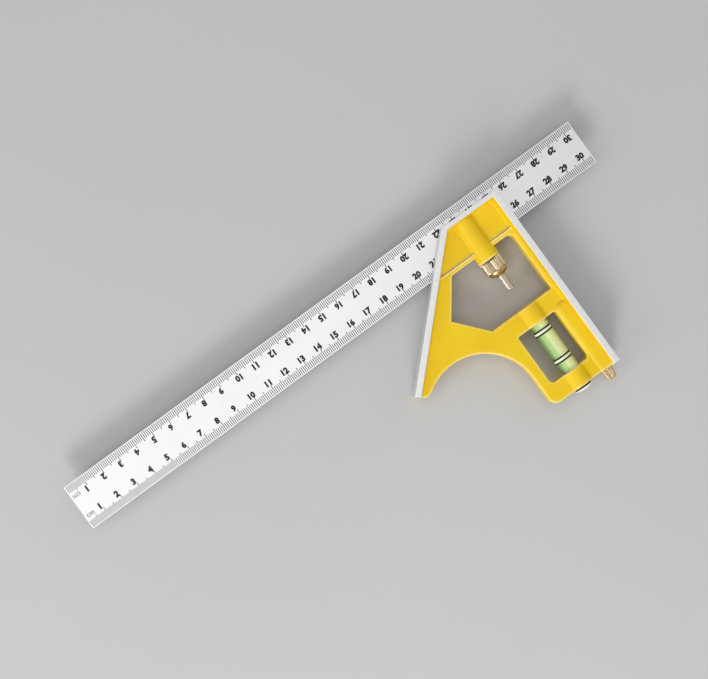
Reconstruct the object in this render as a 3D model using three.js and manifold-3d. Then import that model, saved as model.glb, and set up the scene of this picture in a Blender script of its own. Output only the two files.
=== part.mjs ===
// A 300 mm combination square: a graduated steel rule sliding in a die-cast 45/90 degree head, with a
// draw bolt and knurled nut that lock it, a level vial and a scriber kept in the head.
//
// Millimetres, +Z up. Pieces are modelled in the tool's own axes: X runs along the rule from its zero end,
// Y across the rule from its lower edge, and Z is 0 at the tool's mid-thickness. The last group moves
// them so that the origin is at the middle of the tool's footprint, on the surface that it lies on.

import * as THREE from 'three';
import { mergeVertices } from 'three/addons/utils/BufferGeometryUtils.js';
import Module from 'manifold-3d';

const wasm = await Module();
wasm.setup();

// ---- Driving dimensions ----

const gap = 0.3; // clearance left between neighbouring pieces
const roundSides = 40; // sides of a turned piece

const rule = {
  length: 305,
  width: 24.5,
  thickness: 1.2,
  grooveWidth: 3.2,
  grooveDepth: 0.5,
};

const head = {
  squareFace: 254.9, // X of the 90 degree face
  mitreFace: 203.2, // X at which the 45 degree face crosses the rule's lower edge
  top: 18.5, // the rule stands proud of this
  bottom: -84.6,
  thickness: 18,
  webThickness: 8,
  housingThickness: 6.2, // the web either side of the rule slot
  housingLow: -1.1,
  faceRim: 3.3, // width of the rims along the 45 and 90 degree faces
  topRim: 2.5,
  legSide: 215.9, // X of the leg's inner side
  legCorner: 4.5,
};

const hollow = { radius: 28.4, y: -67, end: THREE.MathUtils.degToRad(123.5) }; // under the 45 degree arm
const armTip = { y: -40, width: 5.4, sag: 1.1 };

const largeWindow = {
  tipX: 199.8,
  tipY: -21.3,
  left: 213.2,
  right: 249.1,
  top: -3.4,
  bottom: -36.9,
  corner: 2.6,
};
const vialWindow = { left: 221.6, right: 244.1, top: -47, bottom: -75, topCorner: 1, bottomCorner: 2.2 };

const boltAxis = 233.3; // X of the lock bolt
const boss = { radius: 5.95, bottom: -7.7 };
const bolt = {
  headRadius: 3.5,
  shankRadius: 2.38,
  top: 15.5,
  collarTop: -1.6, // the bolt is full round below this, and half round behind the rule above it
  collarBottom: -2.6,
  bottom: -25.8,
  toothHeight: 1.3,
  chamfer: 0.6,
};
const boltBore = { radius: bolt.headRadius + gap, floor: -6.5, throatRadius: bolt.shankRadius + gap };
const spring = { wireRadius: 0.3, coilRadius: 3.1, turns: 3 };
const nut = {
  radius: 5.75,
  height: 9.3,
  collarHeight: 6, // the nut tapers below this
  taper: [[4.2, 8.4], [5.2, 7.2]], // radius, and depth below the nut's top
  endRadius: 3,
  teeth: 30,
  toothDepth: 0.35,
};

const vialAxis = 234; // X of the vial
const vial = { radius: 4.8, innerRadius: 3.9, top: -43.6, bottom: -80.2, endWall: 1.6, plugHeight: 2.9 };
const bubble = { radius: 1.5, length: 9, z: 1.9, travel: 8 };
const vialBoss = { radius: 6.6 };
const borePlug = {
  radius: 4.8,
  top: -80.5,
  neckTop: -84.5,
  neckRadius: 3.6,
  neckBottom: -85.8,
  shoulder: -86,
  end: -87.1,
};

const scriberAxis = 248.3;
const scriber = { radius: 1.2, tip: -46.5, taper: 9, inKnob: 4 };
const scriberPad = { left: 244.8, top: -45, corner: 3, thickness: 10 }; // raised web around the scriber
const bushing = { radius: 2.4, height: 6 };
const knob = { radius: 3.1, endRadius: 2.6, height: 6, teeth: 12, toothDepth: 0.25 };

// ---- Solids ----

// A closed three.js geometry as a solid that can be joined and cut.
function solid(geometry) {
  const bare = geometry.clone();
  bare.deleteAttribute('normal');
  bare.deleteAttribute('uv');
  const merged = mergeVertices(bare, 1e-4);
  return new wasm.Manifold(new wasm.Mesh({
    numProp: 3,
    vertProperties: new Float32Array(merged.attributes.position.array),
    triVerts: new Uint32Array(merged.index.array),
  }));
}

function geometryOf(body) {
  const mesh = body.getMesh();
  const geometry = new THREE.BufferGeometry();
  geometry.setAttribute('position', new THREE.BufferAttribute(new Float32Array(mesh.vertProperties), 3));
  geometry.setIndex(new THREE.BufferAttribute(new Uint32Array(mesh.triVerts), 1));
  geometry.computeVertexNormals();
  return geometry;
}

function block(x0, x1, y0, y1, z0, z1) {
  const geometry = new THREE.BoxGeometry(x1 - x0, y1 - y0, z1 - z0);
  geometry.translate((x0 + x1) / 2, (y0 + y1) / 2, (z0 + z1) / 2);
  return solid(geometry);
}

// An outline in X and Y made thickness thick, centred on the tool's mid-thickness.
function slab(shape, thickness) {
  const geometry = new THREE.ExtrudeGeometry(shape, {
    depth: thickness,
    bevelEnabled: false,
    curveSegments: 24,
  });
  geometry.translate(0, 0, -thickness / 2);
  return solid(geometry);
}

// A solid of revolution about a line parallel to Y, from [radius, y] points listed from low y to high y.
function turned(profile, x, z = 0) {
  const points = profile.map(([radius, y]) => new THREE.Vector2(radius, y));
  const geometry = new THREE.LatheGeometry(points, roundSides);
  geometry.translate(x, 0, z);
  return solid(geometry);
}

function rod(radius, y0, y1, x, z = 0) {
  return turned([[0, y0], [radius, y0], [radius, y1], [0, y1]], x, z);
}

// A straight-knurled bar about a line parallel to Y, its teeth cut to toothDepth.
function knurledBar(radius, teeth, toothDepth, y0, y1, x) {
  const shape = new THREE.Shape();
  for (let i = 0; i < teeth * 2; i += 1) {
    const angle = (i / (teeth * 2)) * Math.PI * 2;
    const r = i % 2 === 0 ? radius : radius - toothDepth;
    const place = [r * Math.cos(angle), r * Math.sin(angle)];
    if (i === 0) shape.moveTo(...place);
    else shape.lineTo(...place);
  }
  shape.closePath();
  const geometry = new THREE.ExtrudeGeometry(shape, { depth: y1 - y0, bevelEnabled: false });
  geometry.rotateX(-Math.PI / 2);
  geometry.translate(x, y0, 0);
  return solid(geometry);
}

// ---- Rule ----

function makeRule() {
  const halfThickness = rule.thickness / 2;
  const grooveFloor = halfThickness - rule.grooveDepth;
  const grooveLow = (rule.width - rule.grooveWidth) / 2;
  const grooveHigh = (rule.width + rule.grooveWidth) / 2;
  // The cross-section, drawn with its first axis pointing to the back face, which has the groove.
  const section = new THREE.Shape([
    new THREE.Vector2(-halfThickness, 0),
    new THREE.Vector2(halfThickness, 0),
    new THREE.Vector2(halfThickness, grooveLow),
    new THREE.Vector2(grooveFloor, grooveLow),
    new THREE.Vector2(grooveFloor, grooveHigh),
    new THREE.Vector2(halfThickness, grooveHigh),
    new THREE.Vector2(halfThickness, rule.width),
    new THREE.Vector2(-halfThickness, rule.width),
  ]);
  const geometry = new THREE.ExtrudeGeometry(section, { depth: rule.length, bevelEnabled: false });
  geometry.rotateY(Math.PI / 2);
  return solid(geometry);
}

// ---- Head ----

function headOutline() {
  const tipInnerX = head.mitreFace + armTip.y + armTip.width * Math.SQRT1_2;
  const tipInnerY = armTip.y - armTip.width * Math.SQRT1_2;
  const hollowX = head.legSide - hollow.radius;
  const hollowEndX = hollowX + hollow.radius * Math.cos(hollow.end);
  const hollowEndY = hollow.y + hollow.radius * Math.sin(hollow.end);
  const cornerX = head.legSide + head.legCorner;
  const cornerY = head.bottom + head.legCorner;

  const shape = new THREE.Shape();
  shape.moveTo(head.mitreFace + head.top, head.top);
  shape.lineTo(head.squareFace, head.top);
  shape.lineTo(head.squareFace, head.bottom);
  shape.lineTo(cornerX, head.bottom);
  shape.absarc(cornerX, cornerY, head.legCorner, -Math.PI / 2, -Math.PI, true);
  shape.absarc(hollowX, hollow.y, hollow.radius, 0, hollow.end, false);
  shape.quadraticCurveTo((tipInnerX + hollowEndX) / 2, hollowEndY - armTip.sag, tipInnerX, tipInnerY);
  shape.lineTo(head.mitreFace + armTip.y, armTip.y);
  shape.closePath();
  return shape;
}

// The full-thickness rims along the top and the 45 and 90 degree faces, as one bent strip.
function rimOutline() {
  const inset = head.faceRim * Math.SQRT1_2;
  const innerMitre = head.mitreFace + 2 * inset;
  const innerTop = head.top - head.topRim;
  const innerSquare = head.squareFace - head.faceRim;
  return new THREE.Shape([
    new THREE.Vector2(head.mitreFace + head.top, head.top),
    new THREE.Vector2(head.squareFace, head.top),
    new THREE.Vector2(head.squareFace, head.bottom),
    new THREE.Vector2(innerSquare, head.bottom),
    new THREE.Vector2(innerSquare, innerTop),
    new THREE.Vector2(innerMitre + innerTop, innerTop),
    new THREE.Vector2(head.mitreFace + armTip.y + inset, armTip.y - inset),
    new THREE.Vector2(head.mitreFace + armTip.y, armTip.y),
  ]);
}

function largeWindowOutline() {
  const { tipX, tipY, left, right, top, bottom, corner } = largeWindow;
  const shape = new THREE.Shape();
  shape.moveTo(left, top);
  shape.lineTo(tipX, tipY);
  shape.lineTo(left, bottom);
  shape.lineTo(right, bottom);
  shape.lineTo(right, top - corner);
  shape.absarc(right - corner, top - corner, corner, 0, Math.PI / 2, false);
  shape.closePath();
  return shape;
}

function vialWindowOutline() {
  const { left, right, top, bottom, topCorner, bottomCorner } = vialWindow;
  const shape = new THREE.Shape();
  shape.absarc(right - topCorner, top - topCorner, topCorner, 0, Math.PI / 2, false);
  shape.absarc(left + topCorner, top - topCorner, topCorner, Math.PI / 2, Math.PI, false);
  shape.absarc(left + bottomCorner, bottom + bottomCorner, bottomCorner, Math.PI, Math.PI * 1.5, false);
  shape.absarc(right - bottomCorner, bottom + bottomCorner, bottomCorner, -Math.PI / 2, 0, false);
  shape.closePath();
  return shape;
}

function scriberPadOutline() {
  const { left, top, corner } = scriberPad;
  const right = head.squareFace - head.faceRim / 2;
  const shape = new THREE.Shape();
  shape.moveTo(left, head.bottom);
  shape.lineTo(right, head.bottom);
  shape.lineTo(right, top);
  shape.lineTo(left + corner, top);
  shape.absarc(left + corner, top - corner, corner, Math.PI / 2, Math.PI, false);
  shape.closePath();
  return shape;
}

// The shallow recess that thins the web either side of the rule slot, on the front face or the back.
function housingRecess(side) {
  const shallow = (side * head.housingThickness) / 2;
  const outside = (side * head.thickness) / 2;
  return block(
    head.mitreFace - head.top,
    head.squareFace - head.faceRim,
    head.housingLow,
    head.top - head.topRim,
    Math.min(shallow, outside),
    Math.max(shallow, outside),
  );
}

function makeHead() {
  const past = 1; // how far a cut runs past the face it opens on
  const web = slab(headOutline(), head.webThickness)
    .subtract(housingRecess(1))
    .subtract(housingRecess(-1));

  const frame = web
    .add(rod(vialBoss.radius, head.bottom, largeWindow.bottom, vialAxis))
    .add(slab(scriberPadOutline(), scriberPad.thickness))
    .subtract(slab(largeWindowOutline(), head.thickness + past))
    .subtract(slab(vialWindowOutline(), head.thickness + past))
    .add(slab(rimOutline(), head.thickness))
    .add(rod(boss.radius, boss.bottom, head.top - head.topRim / 2, boltAxis));

  const slotHalf = rule.thickness / 2 + gap;
  const ruleSlot = block(-past, rule.length, -gap, rule.width, -slotHalf, slotHalf);
  const boltHole = rod(boltBore.radius, boltBore.floor, head.top + past, boltAxis)
    .add(rod(boltBore.throatRadius, boss.bottom - past, boltBore.floor + past, boltAxis));
  const vialHole = rod(vial.radius + gap, head.bottom - past, vial.top + gap, vialAxis);
  const bushingSeatTop = head.bottom + bushing.height + 2 * gap;
  const scriberHole = rod(scriber.radius + gap, head.bottom - past, scriber.tip + past, scriberAxis)
    .add(rod(bushing.radius + gap, head.bottom - past, bushingSeatTop, scriberAxis));

  return frame
    .subtract(ruleSlot)
    .subtract(boltHole)
    .subtract(vialHole)
    .subtract(scriberHole);
}

// ---- Lock ----

// The draw bolt: a stud, a collar on the spring, and a half-round head behind the rule whose tooth
// bears on the lower wall of the rule's groove.
function makeLockBolt() {
  const behindRule = -rule.thickness / 2 - gap;
  const toothZ = -rule.thickness / 2 + rule.grooveDepth - gap;
  const toothLow = (rule.width - rule.grooveWidth) / 2 + gap;
  const toothReach = 2.6;
  const body = turned([
    [0, bolt.bottom],
    [bolt.shankRadius - bolt.chamfer, bolt.bottom],
    [bolt.shankRadius, bolt.bottom + bolt.chamfer],
    [bolt.shankRadius, bolt.collarBottom],
    [bolt.headRadius, bolt.collarBottom],
    [bolt.headRadius, bolt.top - bolt.chamfer],
    [bolt.headRadius - bolt.chamfer, bolt.top],
    [0, bolt.top],
  ], boltAxis);
  const ruleNotch = block(
    boltAxis - 2 * bolt.headRadius,
    boltAxis + 2 * bolt.headRadius,
    bolt.collarTop,
    rule.width,
    behindRule,
    head.thickness,
  );
  const tooth = block(
    boltAxis - toothReach,
    boltAxis + toothReach,
    toothLow,
    toothLow + bolt.toothHeight,
    behindRule - gap,
    toothZ,
  );
  return body.subtract(ruleNotch).add(tooth);
}

class SpringHelix extends THREE.Curve {
  constructor(bottom, top) {
    super();
    this.bottom = bottom;
    this.top = top;
  }

  getPoint(t, target = new THREE.Vector3()) {
    const angle = t * spring.turns * Math.PI * 2;
    return target.set(
      boltAxis + spring.coilRadius * Math.cos(angle),
      THREE.MathUtils.lerp(this.bottom, this.top, t),
      spring.coilRadius * Math.sin(angle),
    );
  }
}

function makeSpring() {
  const wireSides = 8;
  const stepsPerTurn = 18;
  const clear = gap + spring.wireRadius;
  const wire = new THREE.Shape();
  wire.absarc(0, 0, spring.wireRadius, 0, Math.PI * 2, false);
  return solid(new THREE.ExtrudeGeometry(wire, {
    extrudePath: new SpringHelix(boltBore.floor + clear, bolt.collarBottom - clear),
    steps: spring.turns * stepsPerTurn,
    curveSegments: wireSides,
    bevelEnabled: false,
  }));
}

function makeLockNut() {
  const top = boss.bottom - gap;
  const bottom = top - nut.height;
  const bevel = 0.4;
  const bar = knurledBar(nut.radius, nut.teeth, nut.toothDepth, bottom, top, boltAxis);
  const envelope = turned([
    [0, bottom],
    [nut.endRadius, bottom],
    ...nut.taper.map(([radius, depth]) => [radius, top - depth]),
    [nut.radius, top - nut.collarHeight],
    [nut.radius, top - bevel],
    [nut.radius - bevel, top],
    [0, top],
  ], boltAxis);
  return bar.intersect(envelope).subtract(rod(bolt.shankRadius + gap, bottom - 1, top + 1, boltAxis));
}

// ---- Level vial ----

function makeVialTube() {
  const dome = 0.8;
  return turned([
    [vial.innerRadius, vial.bottom],
    [vial.radius, vial.bottom],
    [vial.radius, vial.top - dome],
    [vial.radius - dome, vial.top],
    [0, vial.top],
    [0, vial.top - vial.endWall],
    [vial.innerRadius, vial.top - vial.endWall],
    [vial.innerRadius, vial.bottom],
  ], vialAxis);
}

// The liquid has a channel along its upper side, open to the tube wall, that the bubble runs in.
function makeVialLiquid() {
  const middle = (vialWindow.top + vialWindow.bottom) / 2;
  const channelHalf = bubble.length / 2 + bubble.travel + gap;
  const channelRadius = bubble.radius + gap;
  const liquid = rod(
    vial.innerRadius - gap,
    vial.bottom + vial.plugHeight + gap,
    vial.top - vial.endWall - gap,
    vialAxis,
  );
  const channel = block(
    vialAxis - channelRadius,
    vialAxis + channelRadius,
    middle - channelHalf,
    middle + channelHalf,
    bubble.z - channelRadius,
    vial.radius,
  );
  return liquid.subtract(channel);
}

function makeVialBubble() {
  const middle = (vialWindow.top + vialWindow.bottom) / 2;
  const geometry = new THREE.CapsuleGeometry(bubble.radius, bubble.length - 2 * bubble.radius, 6, 16);
  geometry.translate(vialAxis, middle, bubble.z);
  return solid(geometry);
}

function makeVialEndPlug() {
  return rod(vial.innerRadius - gap, vial.bottom, vial.bottom + vial.plugHeight, vialAxis);
}

// A domed plug closing the mouth of the vial bore, with a neck that carries a gasket.
function makeVialBorePlug() {
  const domeSteps = 6;
  const profile = [[0, borePlug.end]];
  for (let i = 1; i <= domeSteps; i += 1) {
    const angle = (i / domeSteps) * (Math.PI / 2);
    profile.push([
      borePlug.radius * Math.sin(angle),
      borePlug.shoulder - (borePlug.shoulder - borePlug.end) * Math.cos(angle),
    ]);
  }
  profile.push(
    [borePlug.radius, borePlug.neckBottom],
    [borePlug.neckRadius, borePlug.neckBottom],
    [borePlug.neckRadius, borePlug.neckTop],
    [borePlug.radius, borePlug.neckTop],
    [borePlug.radius, borePlug.top],
    [0, borePlug.top],
  );
  return turned(profile, vialAxis);
}

function makeVialBoreGasket() {
  const inner = borePlug.neckRadius + gap;
  const bottom = borePlug.neckBottom + gap;
  const top = head.bottom - gap;
  return turned([
    [inner, bottom],
    [borePlug.radius, bottom],
    [borePlug.radius, top],
    [inner, top],
    [inner, bottom],
  ], vialAxis);
}

// ---- Scriber ----

function makeScriberBushing() {
  const inner = scriber.radius + gap;
  const bottom = head.bottom + gap;
  const top = bottom + bushing.height;
  return turned([
    [inner, bottom],
    [bushing.radius, bottom],
    [bushing.radius, top],
    [inner, top],
    [inner, bottom],
  ], scriberAxis);
}

function makeScriberNeedle() {
  const bottom = head.bottom - gap - scriber.inKnob;
  return turned([
    [0, bottom],
    [scriber.radius, bottom],
    [scriber.radius, scriber.tip - scriber.taper],
    [0.05, scriber.tip],
    [0, scriber.tip],
  ], scriberAxis);
}

function makeScriberKnob() {
  const top = head.bottom - gap;
  const bottom = top - knob.height;
  const endBevel = 0.6;
  const bar = knurledBar(knob.radius, knob.teeth, knob.toothDepth, bottom, top, scriberAxis);
  const envelope = turned([
    [0, bottom],
    [knob.endRadius - endBevel, bottom],
    [knob.endRadius, bottom + endBevel],
    [knob.radius, top],
    [0, top],
  ], scriberAxis);
  const needleHole = rod(scriber.radius + gap, top - scriber.inKnob - gap, top + 1, scriberAxis);
  return bar.intersect(envelope).subtract(needleHole);
}

// ---- Assembly ----

const materials = {
  ruleSteel: { color: 0xd6d7dc, roughness: 0.35, metalness: 0.85 },
  yellowPaint: { color: 0xe8b81c, roughness: 0.4, metalness: 0.1 },
  boltSteel: { color: 0xb4b4b8, roughness: 0.35, metalness: 0.9 },
  brass: { color: 0xc9a86a, roughness: 0.35, metalness: 0.9 },
  vialAcrylic: { color: 0xe4f2d8, roughness: 0.1, metalness: 0 },
  vialLiquid: { color: 0xa8cf6a, roughness: 0.1, metalness: 0 },
  vialAir: { color: 0xf2f7dc, roughness: 0.1, metalness: 0 },
  whitePlastic: { color: 0xeeeeee, roughness: 0.5, metalness: 0 },
  blackRubber: { color: 0x1c1c1c, roughness: 0.8, metalness: 0 },
};

function piece(name, body, material) {
  const mesh = new THREE.Mesh(geometryOf(body), new THREE.MeshStandardMaterial(materials[material]));
  mesh.name = name;
  return mesh;
}

const group = new THREE.Group();
group.add(
  piece('rule_blade', makeRule(), 'ruleSteel'),
  piece('head_casting', makeHead(), 'yellowPaint'),
  piece('lock_bolt', makeLockBolt(), 'boltSteel'),
  piece('lock_spring', makeSpring(), 'boltSteel'),
  piece('lock_nut', makeLockNut(), 'brass'),
  piece('vial_tube', makeVialTube(), 'vialAcrylic'),
  piece('vial_liquid', makeVialLiquid(), 'vialLiquid'),
  piece('vial_bubble', makeVialBubble(), 'vialAir'),
  piece('vial_end_plug', makeVialEndPlug(), 'vialAcrylic'),
  piece('vial_bore_plug', makeVialBorePlug(), 'whitePlastic'),
  piece('vial_bore_gasket', makeVialBoreGasket(), 'blackRubber'),
  piece('scriber_bushing', makeScriberBushing(), 'brass'),
  piece('scriber_needle', makeScriberNeedle(), 'boltSteel'),
  piece('scriber_knob', makeScriberKnob(), 'brass'),
);

const footprintLow = head.bottom - gap - knob.height;
group.position.set(-rule.length / 2, -(footprintLow + rule.width) / 2, head.thickness / 2);

export default group;
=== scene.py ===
"""The looks of a 300 mm combination square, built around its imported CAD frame.

Shapes are drawn in millimetres in the tool's own axes, and moved into the frame as they are finished:
X runs along the rule from its zero end, Y across the rule from its lower edge, and Z is 0 at the tool's
mid-thickness. Turned pieces have their axis parallel to Y.
"""

import math

import bmesh
import bpy
from mathutils import Matrix, Vector
from mathutils.geometry import tessellate_polygon


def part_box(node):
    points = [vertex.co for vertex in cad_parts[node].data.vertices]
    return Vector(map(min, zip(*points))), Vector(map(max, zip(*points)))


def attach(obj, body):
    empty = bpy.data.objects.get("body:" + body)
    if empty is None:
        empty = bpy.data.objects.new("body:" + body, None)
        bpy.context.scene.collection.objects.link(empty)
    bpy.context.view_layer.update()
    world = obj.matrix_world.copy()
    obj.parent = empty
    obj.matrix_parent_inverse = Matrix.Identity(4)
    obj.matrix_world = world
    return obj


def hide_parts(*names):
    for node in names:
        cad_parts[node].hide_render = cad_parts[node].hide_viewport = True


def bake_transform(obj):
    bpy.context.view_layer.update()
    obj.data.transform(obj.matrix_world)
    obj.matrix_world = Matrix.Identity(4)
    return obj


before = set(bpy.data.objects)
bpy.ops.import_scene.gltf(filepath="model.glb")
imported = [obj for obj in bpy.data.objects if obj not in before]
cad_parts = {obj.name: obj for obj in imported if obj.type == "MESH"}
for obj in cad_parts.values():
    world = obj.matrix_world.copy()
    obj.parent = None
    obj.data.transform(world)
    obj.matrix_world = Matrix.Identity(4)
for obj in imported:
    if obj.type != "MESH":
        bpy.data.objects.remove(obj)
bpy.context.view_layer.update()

MM = 0.001
QUARTER = math.pi / 2
FULL = 2 * math.pi
SIN_45 = math.sqrt(0.5)

# ---- Places and sizes taken from the frame ----

RULE_LOW, RULE_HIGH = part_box("rule_blade")
ORIGIN = Vector((RULE_LOW.x, RULE_LOW.y, (RULE_LOW.z + RULE_HIGH.z) / 2))
TO_FRAME = Matrix.Translation(ORIGIN) @ Matrix.Scale(MM, 4)


class ToolBox:
    """A CAD node's box in the tool's axes, in millimetres."""

    def __init__(self, node):
        low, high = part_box(node)
        self.low = (low - ORIGIN) / MM
        self.high = (high - ORIGIN) / MM
        self.y = (self.low.y, self.high.y)
        self.axis = (self.low.x + self.high.x) / 2
        self.radius = (self.high.x - self.low.x) / 2


RULE = ToolBox("rule_blade")
HEAD = ToolBox("head_casting")
NUT = ToolBox("lock_nut")
BOLT = ToolBox("lock_bolt")
SPRING = ToolBox("lock_spring")
TUBE = ToolBox("vial_tube")
LIQUID = ToolBox("vial_liquid")
BUBBLE = ToolBox("vial_bubble")
END_PLUG = ToolBox("vial_end_plug")
BORE_PLUG = ToolBox("vial_bore_plug")
GASKET = ToolBox("vial_bore_gasket")
BUSHING = ToolBox("scriber_bushing")
NEEDLE = ToolBox("scriber_needle")
KNOB = ToolBox("scriber_knob")

# ---- Sizes that no box gives, in millimetres ----

GAP = 0.3  # between neighbouring pieces
THICKNESS = HEAD.high.z - HEAD.low.z

GROOVE_WIDTH = 3.2
GROOVE_DEPTH = 0.5

TIP_Y = -40.0  # outer corner of the 45 degree arm's tip
TIP_WIDTH = 5.4
TIP_SAG = 1.1
MITRE_FACE = HEAD.low.x - TIP_Y  # X at which the 45 degree face crosses the rule's lower edge
FACE_RIM = 3.3
TOP_RIM = 2.5
RIM_COVER = 1.5  # how far the web and the housing run in under the rims
WEB_THICKNESS = 8.0
HOUSING_THICKNESS = 6.2
HOUSING_LOW = -1.1
HOUSING_OVERLAP = 1.2  # how far the housing runs down inside the web
STEP_OVERLAP = 1.3
LEG_SIDE = 215.9
LEG_CORNER = 4.5
HOLLOW_RADIUS = 28.4
HOLLOW_Y = -67.0
HOLLOW_END = math.radians(123.5)

WINDOW_TIP = (199.8, -21.3)
WINDOW_LEFT = 213.2
WINDOW_RIGHT = 249.1
WINDOW_TOP = -3.4
WINDOW_BOTTOM = -36.9
WINDOW_CORNER = 2.6
VIAL_WINDOW_TOP = -47.0
VIAL_WINDOW_BOTTOM = -75.0

LOCK_BOSS_RADIUS = 5.95
LOCK_BOSS_TOP = HEAD.high.y - TOP_RIM / 2
VIAL_BOSS_RADIUS = 6.6
BOSS_SIDES = 96
PAD_LEFT = 244.8  # the web is raised around the scriber
PAD_TOP = -45.0
PAD_CORNER = 3.0
PAD_THICKNESS = 10.0
BOLT_BORE_FLOOR = -6.5
BOLT_COLLAR_TOP = -1.6
BOLT_COLLAR_BOTTOM = -2.6
SHANK_RADIUS = 2.38
THREAD_PITCH = 0.8
THREAD_DEPTH = 0.32
SPRING_TURNS = 3
SPRING_WIRE = 0.3
NEEDLE_TAPER = 9.0
NEEDLE_IN_KNOB = 4.0

EDGE = 0.75  # rounding of the painted web's edges
CRISP_EDGE = 0.15
RIM_EDGE = 0.3
RIM_FILLET = 0.9
BOSS_FILLET = 2.0
RIM_DRAFT = 0.16  # slope of the rims' inner flanks

# ---- Mesh building ----

BOX_FACES = [(0, 1, 3, 2), (4, 6, 7, 5), (0, 4, 5, 1), (2, 3, 7, 6), (0, 2, 6, 4), (1, 5, 7, 3)]
MERGE_DISTANCE = 1e-5
CORNER_STEPS = 4
CRISP_ANGLE = 35  # edges over this many degrees stay crisp


def object_from(name, data):
    piece = bpy.data.objects.new(name, data)
    bpy.context.scene.collection.objects.link(piece)
    return piece


def object_from_faces(name, points, faces):
    """A new object with its faces turned outwards."""
    mesh = bpy.data.meshes.new(name)
    mesh.from_pydata([tuple(p) for p in points], [], faces)
    turn_outwards(mesh)
    return object_from(name, mesh)


def turn_outwards(mesh):
    shape = bmesh.new()
    shape.from_mesh(mesh)
    bmesh.ops.recalc_face_normals(shape, faces=shape.faces)
    shape.to_mesh(mesh)
    shape.free()


def arc(centre, radius, start, end, steps):
    """Points on an arc, both ends included."""
    angles = [start + (end - start) * i / steps for i in range(steps + 1)]
    return [(centre[0] + radius * math.cos(a), centre[1] + radius * math.sin(a)) for a in angles]


def inset_loop(loop, amount):
    """A closed loop moved to its left by an amount, with mitred corners."""
    moved = []
    for i, point in enumerate(loop):
        before = Vector(loop[i - 1])
        here = Vector(point)
        after = Vector(loop[(i + 1) % len(loop)])
        arriving = (here - before).normalized()
        leaving = (after - here).normalized()
        normal_in = Vector((-arriving.y, arriving.x))
        normal_out = Vector((-leaving.y, leaving.x))
        mitre = (normal_in + normal_out) / (1 + normal_in.dot(normal_out))
        moved.append(here + mitre * amount)
    return moved


def plate(name, levels):
    """A solid through a stack of levels, each a height and its closed loops. The first loop is the
    outline, anticlockwise, and the others are holes, clockwise."""
    points = []
    faces = []
    starts = []
    for height, loops in levels:
        starts.append([])
        for loop in loops:
            starts[-1].append(len(points))
            points += [Vector((x, y, height)) for x, y in loop]
    for lower, upper in zip(starts, starts[1:]):
        for first, above, loop in zip(lower, upper, levels[0][1]):
            count = len(loop)
            for i in range(count):
                j = (i + 1) % count
                faces.append((first + i, first + j, above + j, above + i))
    for first in (starts[0][0], starts[-1][0]):
        rings = []
        place = first
        for loop in levels[0][1]:
            rings.append(points[place:place + len(loop)])
            place += len(loop)
        faces += [tuple(first + i for i in triangle) for triangle in tessellate_polygon(rings)]
    return object_from_faces(name, points, faces)


def edge_profile(thickness, edge, edge_height):
    """(inset, height) pairs from the back face of a plate with rounded edges to its front face."""
    half = thickness / 2
    back = []
    for i in range(CORNER_STEPS + 1):
        turn = QUARTER * i / CORNER_STEPS
        back.append((edge * (1 - math.sin(turn)), -half + edge_height * (1 - math.cos(turn))))
    return back + [(inset, -height) for inset, height in reversed(back)]


def rounded_slab(name, loops, thickness, edge, edge_height=None):
    """A plate about mid-thickness with rounded edges, from an outline and its holes."""
    profile = edge_profile(thickness, edge, edge_height or edge)
    return plate(name, [(height, [inset_loop(loop, inset) for loop in loops]) for inset, height in profile])


def turned(name, profile, axis, sides=64, reshape=None):
    """A solid of revolution about a line parallel to Y, from (radius, y) points. A profile either
    starts and ends on the axis or closes on itself. reshape(radius, y, angle) cuts knurls and threads."""
    points = []
    rings = []
    for radius, y in profile:
        if radius == 0:
            rings.append([len(points)])
            points.append((axis, y, 0))
            continue
        ring = []
        for i in range(sides):
            angle = FULL * i / sides
            r = reshape(radius, y, angle) if reshape else radius
            ring.append(len(points))
            points.append((axis + r * math.cos(angle), y, r * math.sin(angle)))
        rings.append(ring)
    pairs = list(zip(rings, rings[1:]))
    if profile[0][0] > 0:
        pairs.append((rings[-1], rings[0]))
    faces = []
    for low, high in pairs:
        for i in range(sides):
            j = (i + 1) % sides
            if len(low) == 1:
                faces.append((low[0], high[i], high[j]))
            elif len(high) == 1:
                faces.append((low[i], low[j], high[0]))
            else:
                faces.append((low[i], low[j], high[j], high[i]))
    return object_from_faces(name, points, faces)


def rod(name, radius, y_low, y_high, axis):
    return turned(name, [(0, y_low), (radius, y_low), (radius, y_high), (0, y_high)], axis)


def fillet(corner, radius, start):
    """The points of a quarter-round profile corner, for a corner point and the angle it starts at."""
    turn = start + QUARTER / 2
    reach = radius * math.sqrt(2)
    centre = (corner[0] - reach * math.cos(turn), corner[1] - reach * math.sin(turn))
    return arc(centre, radius, start, start + QUARTER, CORNER_STEPS)


def rounded_rod(name, radius, y, axis, edge, sides=64):
    """A rod with rounded ends, between the low and high ends in y."""
    profile = [(0, y[0])]
    profile += fillet((radius, y[0]), edge, -QUARTER)
    profile += fillet((radius, y[1]), edge, 0)
    profile += [(0, y[1])]
    return turned(name, profile, axis, sides)


def block(name, x, y, z):
    """A box from (low, high) pairs along each axis."""
    points = [(a, b, c) for a in x for b in y for c in z]
    return object_from_faces(name, points, BOX_FACES)


def evaluated_mesh(piece):
    """A new mesh of a text, or of a piece with its modifiers."""
    depsgraph = bpy.context.evaluated_depsgraph_get()
    return bpy.data.meshes.new_from_object(piece.evaluated_get(depsgraph))


def combine(piece, others, operation):
    """Joins other solids to a piece, or cuts them from it, and removes them."""
    for other in others:
        modifier = piece.modifiers.new("combine", "BOOLEAN")
        modifier.object = other
        modifier.operation = operation
        modifier.solver = "MANIFOLD"
        mesh = evaluated_mesh(piece)
        piece.modifiers.clear()
        piece.data = mesh
        bpy.data.objects.remove(other)
    piece.data.materials.clear()
    return piece


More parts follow.
